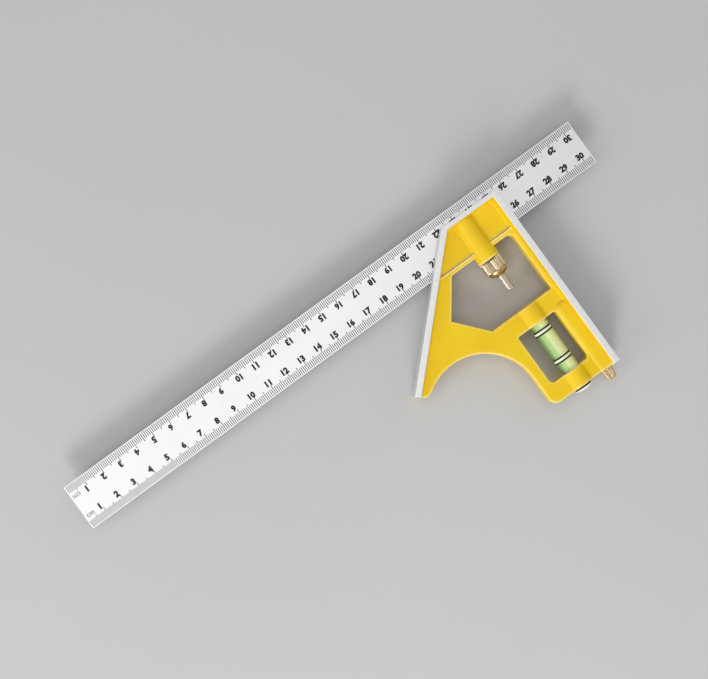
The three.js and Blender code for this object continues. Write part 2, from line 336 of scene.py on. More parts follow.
def shade(piece, crisp_angle):
    """Smooth shading that keeps flat faces flat, and edges crisp where they turn by more than an angle."""
    mesh = piece.data
    shape = bmesh.new()
    shape.from_mesh(mesh)
    bmesh.ops.remove_doubles(shape, verts=shape.verts, dist=MERGE_DISTANCE)
    bmesh.ops.dissolve_degenerate(shape, edges=shape.edges, dist=MERGE_DISTANCE)
    for face in shape.faces:
        face.smooth = True
    limit = math.radians(crisp_angle)
    for edge in shape.edges:
        edge.smooth = len(edge.link_faces) == 2 and edge.calc_face_angle(0) < limit
    shape.to_mesh(mesh)
    shape.free()
    modifier = piece.modifiers.new("flat_faces", "WEIGHTED_NORMAL")
    modifier.keep_sharp = True
    modifier.weight = 100  # larger faces count for more


def finish_piece(piece, body, slot, materials, *nodes, crisp_angle=CRISP_ANGLE):
    """Shades a piece drawn in millimetres, moves it into the frame, and says what it rides on and
    replaces. A piece that is blended between two bodies has no body here."""
    if crisp_angle:
        shade(piece, crisp_angle)
    piece.data.transform(TO_FRAME)
    piece.data.update()
    for material in materials:
        piece.data.materials.append(material)
    if body:
        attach(piece, body)
    if nodes:
        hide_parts(*nodes)


# ---- Materials ----

# A Mix node's colour sockets, by number.
MIX_FIRST = 6
MIX_SECOND = 7
MIX_RESULT = 2


class Shader:
    """A new procedural material with a Principled shader, and short calls that add its nodes."""

    def __init__(self, name, **sockets):
        self.material = bpy.data.materials.new(name)
        self.material.use_nodes = True
        self.tree = self.material.node_tree
        self.surface = self.tree.nodes["Principled BSDF"]
        for socket, value in sockets.items():
            self.surface.inputs[socket.replace("_", " ")].default_value = value
        self.coordinates = self.tree.nodes.new("ShaderNodeTexCoord").outputs["Object"]

    def link(self, output, target):
        self.tree.links.new(output, target)

    def noise(self, scale, detail, stretch=(1, 1, 1)):
        """Noise over the piece's own coordinates, in metres. An uneven stretch gives it a direction."""
        mapping = self.tree.nodes.new("ShaderNodeMapping")
        mapping.inputs["Scale"].default_value = stretch
        self.link(self.coordinates, mapping.inputs["Vector"])
        noise = self.tree.nodes.new("ShaderNodeTexNoise")
        noise.inputs["Scale"].default_value = scale
        noise.inputs["Detail"].default_value = detail
        self.link(mapping.outputs["Vector"], noise.inputs["Vector"])
        return noise.outputs["Fac"]

    def ramp(self, source, *stops):
        """Colours or grey values at places along a source that runs from 0 to 1."""
        ramp = self.tree.nodes.new("ShaderNodeValToRGB")
        elements = ramp.color_ramp.elements
        while len(elements) < len(stops):
            elements.new(0.5)
        for element, (place, colour) in zip(elements, stops):
            element.position = place
            element.color = (*colour, 1) if isinstance(colour, tuple) else (colour, colour, colour, 1)
        self.link(source, ramp.inputs["Fac"])
        return ramp.outputs["Color"]

    def mix(self, factor, first, second):
        """Two colours mixed by a factor output. Each is an output or a plain colour."""
        mix = self.tree.nodes.new("ShaderNodeMix")
        mix.data_type = "RGBA"
        self.link(factor, mix.inputs["Factor"])
        for colour, target in ((first, mix.inputs[MIX_FIRST]), (second, mix.inputs[MIX_SECOND])):
            if isinstance(colour, tuple):
                target.default_value = (*colour, 1)
            else:
                self.link(colour, target)
        return mix.outputs[MIX_RESULT]

    def math(self, operation, first, second):
        node = self.tree.nodes.new("ShaderNodeMath")
        node.operation = operation
        for value, target in ((first, node.inputs[0]), (second, node.inputs[1])):
            if isinstance(value, (int, float)):
                target.default_value = value
            else:
                self.link(value, target)
        return node.outputs[0]

    def occlusion(self, distance, inside):
        """How open the surface is to its surroundings, or to its own inside, within a distance in metres."""
        node = self.tree.nodes.new("ShaderNodeAmbientOcclusion")
        node.samples = 8
        node.inside = inside
        node.inputs["Distance"].default_value = distance
        return node.outputs["AO"]

    def worn_edges(self, distance):
        """1 on the outer edges of the shape, 0 elsewhere."""
        return self.ramp(self.occlusion(distance, True), (0.6, 1.0), (0.96, 0.0))

    def crevices(self, distance):
        """1 in the inner corners of the shape, 0 elsewhere."""
        return self.ramp(self.occlusion(distance, False), (0.3, 1.0), (0.85, 0.0))

    def along(self, axis):
        """0 to 1 along an axis, X, Y or Z, over the whole piece."""
        generated = self.tree.nodes.new("ShaderNodeTexCoord").outputs["Generated"]
        split = self.tree.nodes.new("ShaderNodeSeparateXYZ")
        self.link(generated, split.inputs[0])
        return split.outputs[axis]

    def bump(self, height, distance, strength):
        """Bump, with its depth in metres."""
        bump = self.tree.nodes.new("ShaderNodeBump")
        bump.inputs["Distance"].default_value = distance
        bump.inputs["Strength"].default_value = strength
        self.link(height, bump.inputs["Height"])
        self.link(bump.outputs["Normal"], self.surface.inputs["Normal"])

    def set(self, socket, output):
        self.link(output, self.surface.inputs[socket])

    def colour(self, source, *stops):
        """Base colour from a ramp."""
        self.set("Base Color", self.ramp(source, *stops))

    def roughness(self, source, low, high):
        """Roughness from low to high."""
        self.set("Roughness", self.ramp(source, (0.3, low), (0.7, high)))


def yellow_paint():
    """Satin enamel over a casting: a faint orange peel, slow changes of tone, painted shade in its inner
    corners and painted highlights along its outer edges.
    """
    shader = Shader("yellow_enamel", Metallic=0.0, IOR=1.5, Specular_IOR_Level=0.32)
    shade_change = shader.ramp(
        shader.noise(70, 4),
        (0.3, (0.78, 0.505, 0.0015)),
        (0.7, (0.82, 0.58, 0.0025)),
    )
    specks = shader.ramp(shader.noise(1800, 2), (0.68, 0.0), (0.74, 1.0))
    colour = shader.mix(specks, shade_change, (0.70, 0.44, 0.003))
    # painted shade: the inner corners are darkened to brown, in patches
    crevice_shade_patches = shader.ramp(shader.noise(300, 4), (0.3, 0.5), (0.7, 0.9))
    painted_crevice_shade = shader.math("MULTIPLY", shader.crevices(0.0006), crevice_shade_patches)
    colour = shader.mix(painted_crevice_shade, colour, (0.30, 0.16, 0.004))
    # painted highlight: the outer edges are made pale cream, in patches
    highlight_patches = shader.ramp(shader.noise(400, 4), (0.35, 0.55), (0.65, 1.0))
    painted_edge_highlight = shader.math("MULTIPLY", shader.worn_edges(0.0012), highlight_patches)
    shader.set("Base Color", shader.mix(painted_edge_highlight, colour, (1.0, 0.90, 0.52)))
    shader.roughness(shader.noise(250, 4), 0.32, 0.42)
    shader.bump(shader.noise(900, 2), 0.00004, 0.35)
    return shader.material


def machined_metal():
    """A casting's bare rims after linishing: fine crossing scratches on pale, slightly uneven metal."""
    shader = Shader("machined_rim", Metallic=0.7)
    along = shader.noise(500, 3, stretch=(0.6, 12, 12))
    across = shader.noise(500, 3, stretch=(12, 0.6, 12))
    scratches = shader.math("MULTIPLY", along, across)
    shader.colour(scratches, (0.12, (0.71, 0.71, 0.71)), (0.38, (0.89, 0.89, 0.875)))
    shader.roughness(shader.noise(900, 4), 0.34, 0.5)
    uneven = shader.math("MULTIPLY", shader.noise(260, 2), 4.0)
    shader.bump(shader.math("ADD", scratches, uneven), 0.00002, 0.5)
    return shader.material


def rule_steel():
    """Satin-chromed steel, brushed along the rule."""
    shader = Shader("rule_steel", Metallic=0.88)
    streaks = shader.noise(400, 4, stretch=(0.05, 9, 9))
    blotches = shader.noise(40, 3)
    shader.colour(streaks, (0.3, (0.84, 0.835, 0.85)), (0.7, (0.91, 0.905, 0.92)))
    roughness = shader.ramp(streaks, (0.3, 0.28), (0.7, 0.36))
    shader.set("Roughness", shader.math("ADD", roughness, shader.ramp(blotches, (0.3, 0.0), (0.7, 0.08))))
    shader.bump(streaks, 0.000012, 0.3)
    return shader.material


def bolt_steel():
    """Bright turned steel, with fine rings around it and a slightly warm tarnish."""
    shader = Shader("bolt_steel", Metallic=0.8)
    rings = shader.noise(600, 3, stretch=(1, 14, 1))
    tarnish = shader.noise(300, 4)
    shader.colour(tarnish, (0.3, (0.66, 0.61, 0.58)), (0.65, (0.82, 0.79, 0.77)))
    shader.roughness(rings, 0.18, 0.32)
    shader.bump(rings, 0.00001, 0.3)
    return shader.material


def brass(name, dark, light, end):
    """Turned brass: uneven with tarnish, darkened with painted shade in its grooves, pale on its outer edges,
    and with painted shade at its free end, below the knurl."""
    shader = Shader(name, Metallic=1.0)
    tarnish = shader.ramp(shader.noise(350, 5), (0.25, dark), (0.6, light))
    # painted shade: the free end below the knurl takes a darker colour
    painted_end_shade = shader.ramp(shader.along("Y"), (0.26, 0.9), (0.36, 0.0))
    colour = shader.mix(painted_end_shade, tarnish, end)
    # painted shade: the grooves and inner corners are made nearly black
    colour = shader.mix(shader.crevices(0.0004), colour, (0.06, 0.035, 0.015))
    # the outer edges are made pale
    shader.set("Base Color", shader.mix(shader.worn_edges(0.0003), colour, (0.90, 0.83, 0.66)))
    shader.roughness(shader.noise(700, 4), 0.24, 0.38)
    shader.bump(shader.noise(900, 3, stretch=(1, 8, 1)), 0.00001, 0.3)
    return shader.material


def printed_black():
    """Printed black ink, a little thin and grey in places."""
    shader = Shader("printed_black", Specular_IOR_Level=0.2)
    shader.colour(shader.noise(2500, 3), (0.35, (0.006, 0.006, 0.007)), (0.75, (0.03, 0.03, 0.032)))
    shader.roughness(shader.noise(1200, 3), 0.5, 0.65)
    shader.bump(shader.noise(3000, 2), 0.000005, 0.3)
    return shader.material


def printed_white():
    """The thin pale bands on the vial, between its pairs of lines."""
    shader = Shader("vial_white", Alpha=0.85)
    shader.colour(shader.noise(1500, 3), (0.3, (0.84, 0.88, 0.66)), (0.7, (0.93, 0.95, 0.78)))
    shader.roughness(shader.noise(900, 3), 0.3, 0.5)
    return shader.material


def vial_acrylic():
    """Clear acrylic that takes its green from the liquid inside, with painted shade that darkens it towards
    one side.
    """
    shader = Shader("vial_acrylic", Alpha=0.5, IOR=1.49, Specular_IOR_Level=0.7)
    # painted shade: the green darkens towards one side of the tube
    tint = shader.ramp(
        shader.along("X"),
        (0.0, (0.17, 0.33, 0.09)),
        (0.35, (0.55, 0.78, 0.30)),
        (0.5, (0.95, 1.0, 0.55)),
        (0.95, (0.90, 0.96, 0.55)),
    )
    haze = shader.ramp(shader.noise(600, 3), (0.4, 0.0), (0.75, 0.12))
    shader.set("Base Color", shader.mix(haze, tint, (0.92, 0.98, 0.80)))
    scuffs = shader.noise(1500, 4, stretch=(1, 0.1, 1))
    shader.set("Roughness", shader.ramp(scuffs, (0.4, 0.05), (0.75, 0.16)))
    shader.bump(shader.noise(1200, 3), 0.000005, 0.2)
    return shader.material


def vial_liquid():
    """Bright yellow-green indicator liquid, with a painted glow for the light that passes through it, and
    painted shade towards one side.
    """
    # the emission is a painted glow
    shader = Shader(
        "vial_liquid", Alpha=0.94, IOR=1.36, Subsurface_Weight=0.4, Subsurface_Scale=0.003,
        Emission_Color=(0.75, 0.90, 0.35, 1), Emission_Strength=0.13,
    )
    # painted shade: the green darkens towards one side
    depth = shader.ramp(
        shader.along("X"),
        (0.0, (0.30, 0.52, 0.14)),
        (0.4, (0.88, 1.0, 0.42)),
        (1.0, (0.95, 1.0, 0.50)),
    )
    cloud = shader.ramp(shader.noise(120, 3), (0.3, 0.0), (0.7, 0.2))
    shader.set("Base Color", shader.mix(cloud, depth, (0.60, 0.82, 0.26)))
    shader.roughness(shader.noise(300, 2), 0.12, 0.2)
    return shader.material


def vial_air():
    """The bubble, paler than the liquid around it, with painted shade along its two sides."""
    shader = Shader("vial_air", Alpha=0.92, IOR=1.3)
    tint = shader.ramp(shader.noise(200, 2), (0.3, (0.94, 1.0, 0.74)), (0.7, (0.98, 1.0, 0.82)))
    # painted shade: the bubble darkens along its two sides
    sides = shader.ramp(shader.along("X"), (0.0, 1.0), (0.22, 0.0), (0.78, 0.0), (1.0, 1.0))
    shader.set("Base Color", shader.mix(sides, tint, (0.12, 0.22, 0.05)))
    shader.roughness(shader.noise(400, 2), 0.05, 0.1)
    return shader.material


def white_plastic():
    """Moulded white plastic with a fine grain."""
    shader = Shader("white_plastic")
    shader.colour(shader.noise(300, 4), (0.3, (0.80, 0.80, 0.79)), (0.7, (0.92, 0.92, 0.91)))
    shader.roughness(shader.noise(900, 3), 0.38, 0.52)
    shader.bump(shader.noise(2500, 2), 0.00001, 0.3)
    return shader.material


def black_rubber():
    """Matte black rubber with a dusty grain."""
    shader = Shader("black_rubber", Specular_IOR_Level=0.25)
    shader.colour(shader.noise(700, 4), (0.4, (0.010, 0.010, 0.010)), (0.8, (0.035, 0.035, 0.034)))
    shader.roughness(shader.noise(900, 3), 0.65, 0.85)
    shader.bump(shader.noise(2500, 3), 0.00002, 0.4)
    return shader.material


def floor_surface():
    """A plain pale studio floor."""
    shader = Shader("floor")
    shader.colour(shader.noise(3, 2), (0.3, (0.50, 0.50, 0.505)), (0.7, (0.52, 0.52, 0.525)))
    shader.roughness(shader.noise(60, 3), 0.7, 0.8)
    return shader.material


YELLOW = yellow_paint()
MACHINED = machined_metal()
RULE_STEEL = rule_steel()
BOLT_STEEL = bolt_steel()
# the last colour of each brass is the painted shade at its free end
NUT_BRASS = brass("pale_brass", (0.46, 0.36, 0.20), (0.59, 0.505, 0.343), (0.60, 0.395, 0.155))
KNOB_BRASS = brass("golden_brass", (0.56, 0.36, 0.15), (0.80, 0.62, 0.36), (0.72, 0.52, 0.27))
BLACK = printed_black()
VIAL_WHITE = printed_white()
ACRYLIC = vial_acrylic()
GREEN_LIQUID = vial_liquid()
AIR = vial_air()
WHITE_PLASTIC = white_plastic()
BLACK_RUBBER = black_rubber()

# ---- Head ----


def web_outline():
    """The 8 mm web below the rule slot, anticlockwise, from under the 45 degree rim."""
    inner_x = HEAD.low.x + TIP_WIDTH * SIN_45
    inner_y = TIP_Y - TIP_WIDTH * SIN_45
    hollow_x = LEG_SIDE - HOLLOW_RADIUS
    hollow = arc((hollow_x, HOLLOW_Y), HOLLOW_RADIUS, HOLLOW_END, 0, 40)
    start = hollow[0]
    bend = ((inner_x + start[0]) / 2, start[1] - TIP_SAG)
    tip = []
    steps = 8
    for i in range(steps):
        t = i / steps
        x = (1 - t) ** 2 * inner_x + 2 * t * (1 - t) * bend[0] + t * t * start[0]
        y = (1 - t) ** 2 * inner_y + 2 * t * (1 - t) * bend[1] + t * t * start[1]
        tip.append((x, y))
    corner = (LEG_SIDE + LEG_CORNER, HEAD.low.y + LEG_CORNER)
    cover = RIM_COVER * SIN_45
    right = HEAD.high.x - RIM_COVER
    return (
        [(HEAD.low.x + cover, TIP_Y - cover)]
        + tip
        + hollow
        + arc(corner, LEG_CORNER, math.pi, 3 * QUARTER, 8)
        + [(right, HEAD.low.y), (right, HOUSING_LOW)]
        + [(MITRE_FACE + 2 * cover + HOUSING_LOW, HOUSING_LOW)]
    )


def large_window():
    """The window round the lock nut, clockwise from its tip."""
    top_centre = (WINDOW_RIGHT - WINDOW_CORNER, WINDOW_TOP - WINDOW_CORNER)
    bottom_corner = 0.5
    bottom_centre = (WINDOW_RIGHT - bottom_corner, WINDOW_BOTTOM + bottom_corner)
    return (
        [WINDOW_TIP, (WINDOW_LEFT, WINDOW_TOP)]
        + arc(top_centre, WINDOW_CORNER, QUARTER, 0, 8)
        + arc(bottom_centre, bottom_corner, 0, -QUARTER, 4)
        + [(WINDOW_LEFT, WINDOW_BOTTOM)]
    )


def vial_window():
    """The window round the level vial, clockwise, with larger corners below than above."""
    top = 1.0
    bottom = 2.2
    left = 221.6
    right = 244.1
    high = VIAL_WINDOW_TOP - top
    low = VIAL_WINDOW_BOTTOM + bottom
    return (
        arc((left + top, high), top, math.pi, QUARTER, 5)
        + arc((right - top, high), top, QUARTER, 0, 5)
        + arc((right - bottom, low), bottom, 0, -QUARTER, 8)
        + arc((left + bottom, low), bottom, -QUARTER, -math.pi, 8)
    )


def band(name, low, high, thickness):
    """A crisp-edged slab that runs from rim to rim, between two places along Y."""
    left = MITRE_FACE + RIM_COVER * math.sqrt(2)
    right = HEAD.high.x - RIM_COVER
    outline = [(left + low, low), (right, low), (right, high), (left + high, high)]
    return rounded_slab(name, [outline], thickness, CRISP_EDGE)


def housing():
    """The thinner housing either side of the rule slot, which runs in under the web and the rims."""
    return band("housing", HOUSING_LOW - HOUSING_OVERLAP, HEAD.high.y - RIM_COVER, HOUSING_THICKNESS)


def step_edge():
    """The crisp edge at which the web steps down to the housing."""
    return band("step_edge", HOUSING_LOW - STEP_OVERLAP, HOUSING_LOW, WEB_THICKNESS)


def step_grooves():
    """The fine line at the foot of the step, on both faces."""
    size = 0.4
    inside = 0.5  # it stops this far inside the 90 degree face
    floor = HOUSING_THICKNESS / 2 - size
    past = WEB_THICKNESS
    x = (HEAD.low.x, HEAD.high.x - inside)
    y = (HOUSING_LOW, HOUSING_LOW + size)
    return [block("groove_front", x, y, (floor, past)), block("groove_back", x, y, (-past, -floor))]


def rim_outline(flank):
    """The full-thickness rims as one bent strip, anticlockwise, their inner sides widened by a flank."""
    inset = (FACE_RIM + flank) * SIN_45
    inner_top = HEAD.high.y - TOP_RIM - flank
    inner_right = HEAD.high.x - FACE_RIM - flank
    return [
        (HEAD.low.x, TIP_Y),
        (HEAD.low.x + inset, TIP_Y - inset),
        (MITRE_FACE + 2 * inset + inner_top, inner_top),
        (inner_right, inner_top),
        (inner_right, HEAD.low.y),
        (HEAD.high.x, HEAD.low.y),
        (HEAD.high.x, HEAD.high.y),
        (MITRE_FACE + HEAD.high.y, HEAD.high.y),
    ]


def rims(face):
    """The rims' inner sides slope down as a casting's do, and meet a face at this height in a fillet."""
    half = THICKNESS / 2
    sunk = 0.5
    front = [(0, RIM_FILLET, face - sunk)]
    for x, z in arc((0, 0), RIM_FILLET, -QUARTER, -math.pi, 4):
        front.append((0, RIM_FILLET + x, face + RIM_FILLET + z))
    edges = edge_profile(THICKNESS, RIM_EDGE, RIM_EDGE)
    front += [(inset, 0, height) for inset, height in edges if height > 0]
    back = [(inset, foot, -height) for inset, foot, height in reversed(front)]
    levels = []
    for inset, foot, height in back + front:
        flank = RIM_DRAFT * (half - max(abs(height), face)) + foot
        levels.append((height, [inset_loop(rim_outline(flank), inset)]))
    return plate("rims", levels)


def rims_at_web():
    """The rims below the housing, where the web stands higher than the housing does."""
    past = 20
    x = (HEAD.low.x - past, HEAD.high.x + past)
    above = block("above", x, (HOUSING_LOW, 2 * past), (-past, past))
    return combine(rims(WEB_THICKNESS / 2), [above], "DIFFERENCE")


def boss_fillets(axis, boss_radius, face, low, high):
    """The fillets along both sides of a boss, front and back, where it meets the faces at this height."""
    sunk = 0.02
    height = face - sunk + BOSS_FILLET
    across = math.sqrt((boss_radius - sunk + BOSS_FILLET) ** 2 - height ** 2)
    centre = (axis + across, height)
    to_boss = math.pi + math.atan2(height, across)
    right = arc(centre, BOSS_FILLET, 3 * QUARTER, to_boss, 6)
    half = right + [(2 * axis - x, z) for x, z in reversed(right)]
    section = half + [(2 * axis - x, -z) for x, z in half]
    fillets = rounded_slab("boss_fillets", [section], high - low, EDGE)
    fillets.data.transform(Matrix.Translation((0, (low + high) / 2, 0)) @ Matrix.Rotation(QUARTER, 4, "X"))
    return fillets


def scriber_pad():
    """The gently raised web around the scriber, with a round end and a wide slope to the web. It is
    drawn past the head's lower end, then cut off there."""
    below = 1.3
    slope = 2.6
    inside = 0.5
    past = 9
    low = HEAD.low.y - below
    right = HEAD.high.x - inside
    corner = (PAD_LEFT + PAD_CORNER, PAD_TOP - PAD_CORNER)
    outline = [(PAD_LEFT, low), (right, low), (right, PAD_TOP)]
    outline += arc(corner, PAD_CORNER, QUARTER, math.pi, 8)
    step = (PAD_THICKNESS - WEB_THICKNESS) / 2
    pad = rounded_slab("scriber_pad", [outline], PAD_THICKNESS, slope, step)
    under = block("under", (PAD_LEFT - past, right + past), (low - past, HEAD.low.y), (-past, past))
    return combine(pad, [under], "DIFFERENCE")


def lock_boss():
    """The boss round the bolt, from the nut up to the top rim."""
    bottom = NUT.high.y + GAP
    rounding = 0.5
    profile = [(0, bottom)]
    profile += fillet((LOCK_BOSS_RADIUS, bottom), rounding, -QUARTER)
    profile += [(LOCK_BOSS_RADIUS, LOCK_BOSS_TOP), (0, LOCK_BOSS_TOP)]
    return turned("lock_boss", profile, NUT.axis, BOSS_SIDES)


def head_cuts():
    """The rule slot and the three bores."""
    past = 2.0
    below = HEAD.low.y - past
    slot = RULE.high.z + GAP
    return [
        block("slot", (HEAD.low.x - past, HEAD.high.x + past), (-GAP, RULE.high.y), (-slot, slot)),
        rod("bolt_bore", BOLT.radius + GAP, BOLT_BORE_FLOOR, HEAD.high.y + past, NUT.axis),
        rod("bolt_throat", SHANK_RADIUS + GAP, NUT.high.y - past, BOLT_BORE_FLOOR + past, NUT.axis),
        rod("vial_bore", TUBE.radius + GAP, below, TUBE.high.y + GAP, TUBE.axis),
        rod("scriber_bore", NEEDLE.radius + GAP, below, NEEDLE.high.y + GAP, KNOB.axis),
        rod("bushing_seat", BUSHING.radius + GAP, below, BUSHING.high.y + GAP, KNOB.axis),
    ]


def is_machined(face):
    """Whether a face of the head is on the bare rims' outer or front and back faces."""
    x, y, z = face.center
    skin = RIM_EDGE + 0.02
    past_mitre = (y - x + MITRE_FACE) * SIN_45
    return (
        abs(z) > THICKNESS / 2 - skin
        or x > HEAD.high.x - skin
        or y > HEAD.high.y - skin
        or past_mitre > -skin
    )


def make_head():
    head = rounded_slab("head_finished", [web_outline(), large_window(), vial_window()], WEB_THICKNESS, EDGE)
    combine(head, [housing(), step_edge()], "UNION")
    combine(head, step_grooves(), "DIFFERENCE")
    housing_face = HOUSING_THICKNESS / 2
    web_face = WEB_THICKNESS / 2
    combine(head, [
        rims(housing_face),
        rims_at_web(),
        scriber_pad(),
        lock_boss(),
        boss_fillets(NUT.axis, LOCK_BOSS_RADIUS, housing_face, HOUSING_LOW - EDGE, LOCK_BOSS_TOP),
    ], "UNION")
    for y in ((VIAL_WINDOW_TOP, WINDOW_BOTTOM), (HEAD.low.y, VIAL_WINDOW_BOTTOM)):
        boss = rounded_rod("vial_boss", VIAL_BOSS_RADIUS, y, TUBE.axis, EDGE, BOSS_SIDES)
        fillets = boss_fillets(TUBE.axis, VIAL_BOSS_RADIUS, web_face, *y)
        combine(head, [boss, fillets], "UNION")
    combine(head, head_cuts(), "DIFFERENCE")
    shade(head, CRISP_ANGLE)
    for face in head.data.polygons:
        face.material_index = 1 if is_machined(face) else 0
    finish_piece(head, "head", "yellow_enamel", [YELLOW, MACHINED], "head_casting", crisp_angle=None)


# ---- Rule ----


def make_rule():
    """The rule's section, with broken edges and the groove on its back, run along X."""
    half = RULE.high.z
    width = RULE.high.y
    edge = 0.12
    groove_low = (width - GROOVE_WIDTH) / 2
    groove_high = (width + GROOVE_WIDTH) / 2
    floor = -half + GROOVE_DEPTH
    section = [
        (edge, -half), (groove_low, -half), (groove_low, floor), (groove_high, floor),
        (groove_high, -half), (width - edge, -half), (width, -half + edge), (width, half - edge),
        (width - edge, half), (edge, half), (0, half - edge), (0, -half + edge),
    ]
    count = len(section)
    points = [(x, y, z) for x in (0, RULE.high.x) for y, z in section]
    faces = [(i, (i + 1) % count, (i + 1) % count + count, i + count) for i in range(count)]
    end = tessellate_polygon([[Vector((y, z, 0)) for y, z in section]])
    for start in (0, count):
        faces += [tuple(start + i for i in triangle) for triangle in end]
    rule = object_from_faces("rule_finished", points, faces)
    finish_piece(rule, "rule", "rule_steel", [RULE_STEEL], "rule_blade")


INK = 0.012  # how far the print stands above the rule
TICK_WIDTH = 0.34
TICK_START = 0.5
TICK_ENDS = {1: 4.0, 5: 5.0, 10: 5.6}  # how far the ticks of each spacing reach from the edge
DIGIT_HEIGHT = 3.4
DIGIT_CENTRE = 7.0  # from the edge
DIGIT_SHIFT = 0.3  # how far a number stands to the left of its tick
SINGLE_DIGIT_SHIFT = 1.1
BOLD = 0.062
UNIT_HEIGHT = 1.7
UNIT_X = 3.2
UNIT_SHIFT = 0.5  # how much nearer to the edge the unit stands than the digits


def add_ticks(shape):
    """A bar of ink at each millimetre along both edges."""
    z = (RULE.high.z, RULE.high.z + INK)
    for millimetre in range(1, round(RULE.high.x)):
        x = (millimetre - TICK_WIDTH / 2, millimetre + TICK_WIDTH / 2)
        reach = max(end for spacing, end in TICK_ENDS.items() if millimetre % spacing == 0)
        for y in ((TICK_START, reach), (RULE.high.y - reach, RULE.high.y - TICK_START)):
            corners = [shape.verts.new((a, b, c)) for a in x for b in y for c in z]
            for face in BOX_FACES:
                shape.faces.new([corners[i] for i in face])


def add_label(shape, text, x, y, height, turn, bold=0.0):
    """Digits or letters of a given height, thickened by bold, turned, and centred on x and y."""
    curve = bpy.data.curves.new("label", "FONT")
    curve.body = text
    curve.offset = bold
    curve.extrude = INK / 2
    curve.resolution_u = 2
    letters = object_from("label", curve)
    mesh = evaluated_mesh(letters)
    bpy.data.objects.remove(letters)
    xs = [v.co.x for v in mesh.vertices]
    ys = [v.co.y for v in mesh.vertices]
    centre = Vector(((min(xs) + max(xs)) / 2, (min(ys) + max(ys)) / 2, 0))
    scale = 1 / (max(ys) - min(ys))
    mesh.transform(Matrix.Diagonal((scale, scale, 1, 1)) @ Matrix.Translation(-centre))
    place = Matrix.Translation((x, y, RULE.high.z + INK / 2))
    mesh.transform(place @ Matrix.Rotation(turn, 4, "Z") @ Matrix.Diagonal((height, height, 1, 1)))
    shape.from_mesh(mesh)
    bpy.data.meshes.remove(mesh)


def make_markings():
    """Both scales count up from the rule's left end. The upper one is turned by half a turn."""
    shape = bmesh.new()
    add_ticks(shape)
    top = RULE.high.y - DIGIT_CENTRE
    for centimetre in range(1, round(RULE.high.x) // 10 + 1):
        shift = SINGLE_DIGIT_SHIFT if centimetre < 10 else DIGIT_SHIFT
        x = 10 * centimetre - shift
        add_label(shape, str(centimetre), x, DIGIT_CENTRE, DIGIT_HEIGHT, 0, BOLD)
        add_label(shape, str(centimetre), x, top, DIGIT_HEIGHT, math.pi, BOLD)
    add_label(shape, "cm", UNIT_X, DIGIT_CENTRE - UNIT_SHIFT, UNIT_HEIGHT, 0)
    add_label(shape, "cm", UNIT_X, top + UNIT_SHIFT, UNIT_HEIGHT, math.pi)
    mesh = bpy.data.meshes.new("rule_markings")
    shape.to_mesh(mesh)
    shape.free()
    turn_outwards(mesh)
    finish_piece(object_from("rule_markings", mesh), "rule", "printed_black", [BLACK], crisp_angle=None)


# ---- Lock ----


def thread(radius, y, angle):
    """A shallow V thread, which leaves the stud's chamfered end as it is where that is narrower."""
    phase = (y / THREAD_PITCH - angle / FULL) % 1
    return min(radius, SHANK_RADIUS - THREAD_DEPTH * abs(2 * phase - 1))


def make_stud(top):
    """The bolt's threaded end, from its chamfered tip up to a place inside the nut."""
    chamfer = 0.3
    step = THREAD_PITCH / 8
    rows = round((top - BOLT.low.y) / step)
    profile = [(0, BOLT.low.y)]
    for i in range(rows + 1):
        rise = i * step
        profile.append((min(SHANK_RADIUS, SHANK_RADIUS - chamfer + rise), BOLT.low.y + rise))
    profile.append((0, BOLT.low.y + rows * step))
    return turned("stud", profile, BOLT.axis, 48, thread)


def make_bolt():
    """A round shank and collar, and above the collar a half-round head behind the rule, with a tooth
    in the rule's groove."""
    stud_top = NUT.high.y - 0.5
    shank_bottom = stud_top - 1
    shank = SHANK_RADIUS - THREAD_DEPTH - 0.06
    collar_edge = 0.15
    head_edge = 0.6
    profile = [(0, shank_bottom), (shank, shank_bottom), (shank, BOLT_COLLAR_BOTTOM)]
    profile += fillet((BOLT.radius, BOLT_COLLAR_BOTTOM), collar_edge, -QUARTER)
    profile += fillet((BOLT.radius, BOLT.high.y), head_edge, 0)
    profile += [(0, BOLT.high.y)]
    bolt = turned("lock_bolt_finished", profile, BOLT.axis)
    past = 1
    behind = RULE.low.z - GAP
    x = (BOLT.low.x - past, BOLT.high.x + past)
    notch = block("notch", x, (BOLT_COLLAR_TOP, BOLT.high.y + past), (behind, THICKNESS / 2))
    half_tooth = 2.6
    tooth_height = 1.3
    tooth_low = (RULE.high.y - GROOVE_WIDTH) / 2 + GAP
    x = (BOLT.axis - half_tooth, BOLT.axis + half_tooth)
    z = (behind - GAP, RULE.low.z + GROOVE_DEPTH - GAP)
    tooth = block("tooth", x, (tooth_low, tooth_low + tooth_height), z)
    combine(bolt, [notch], "DIFFERENCE")
    combine(bolt, [tooth, make_stud(stud_top)], "UNION")
    finish_piece(bolt, "lock_bolt", "bolt_steel", [BOLT_STEEL], "lock_bolt")


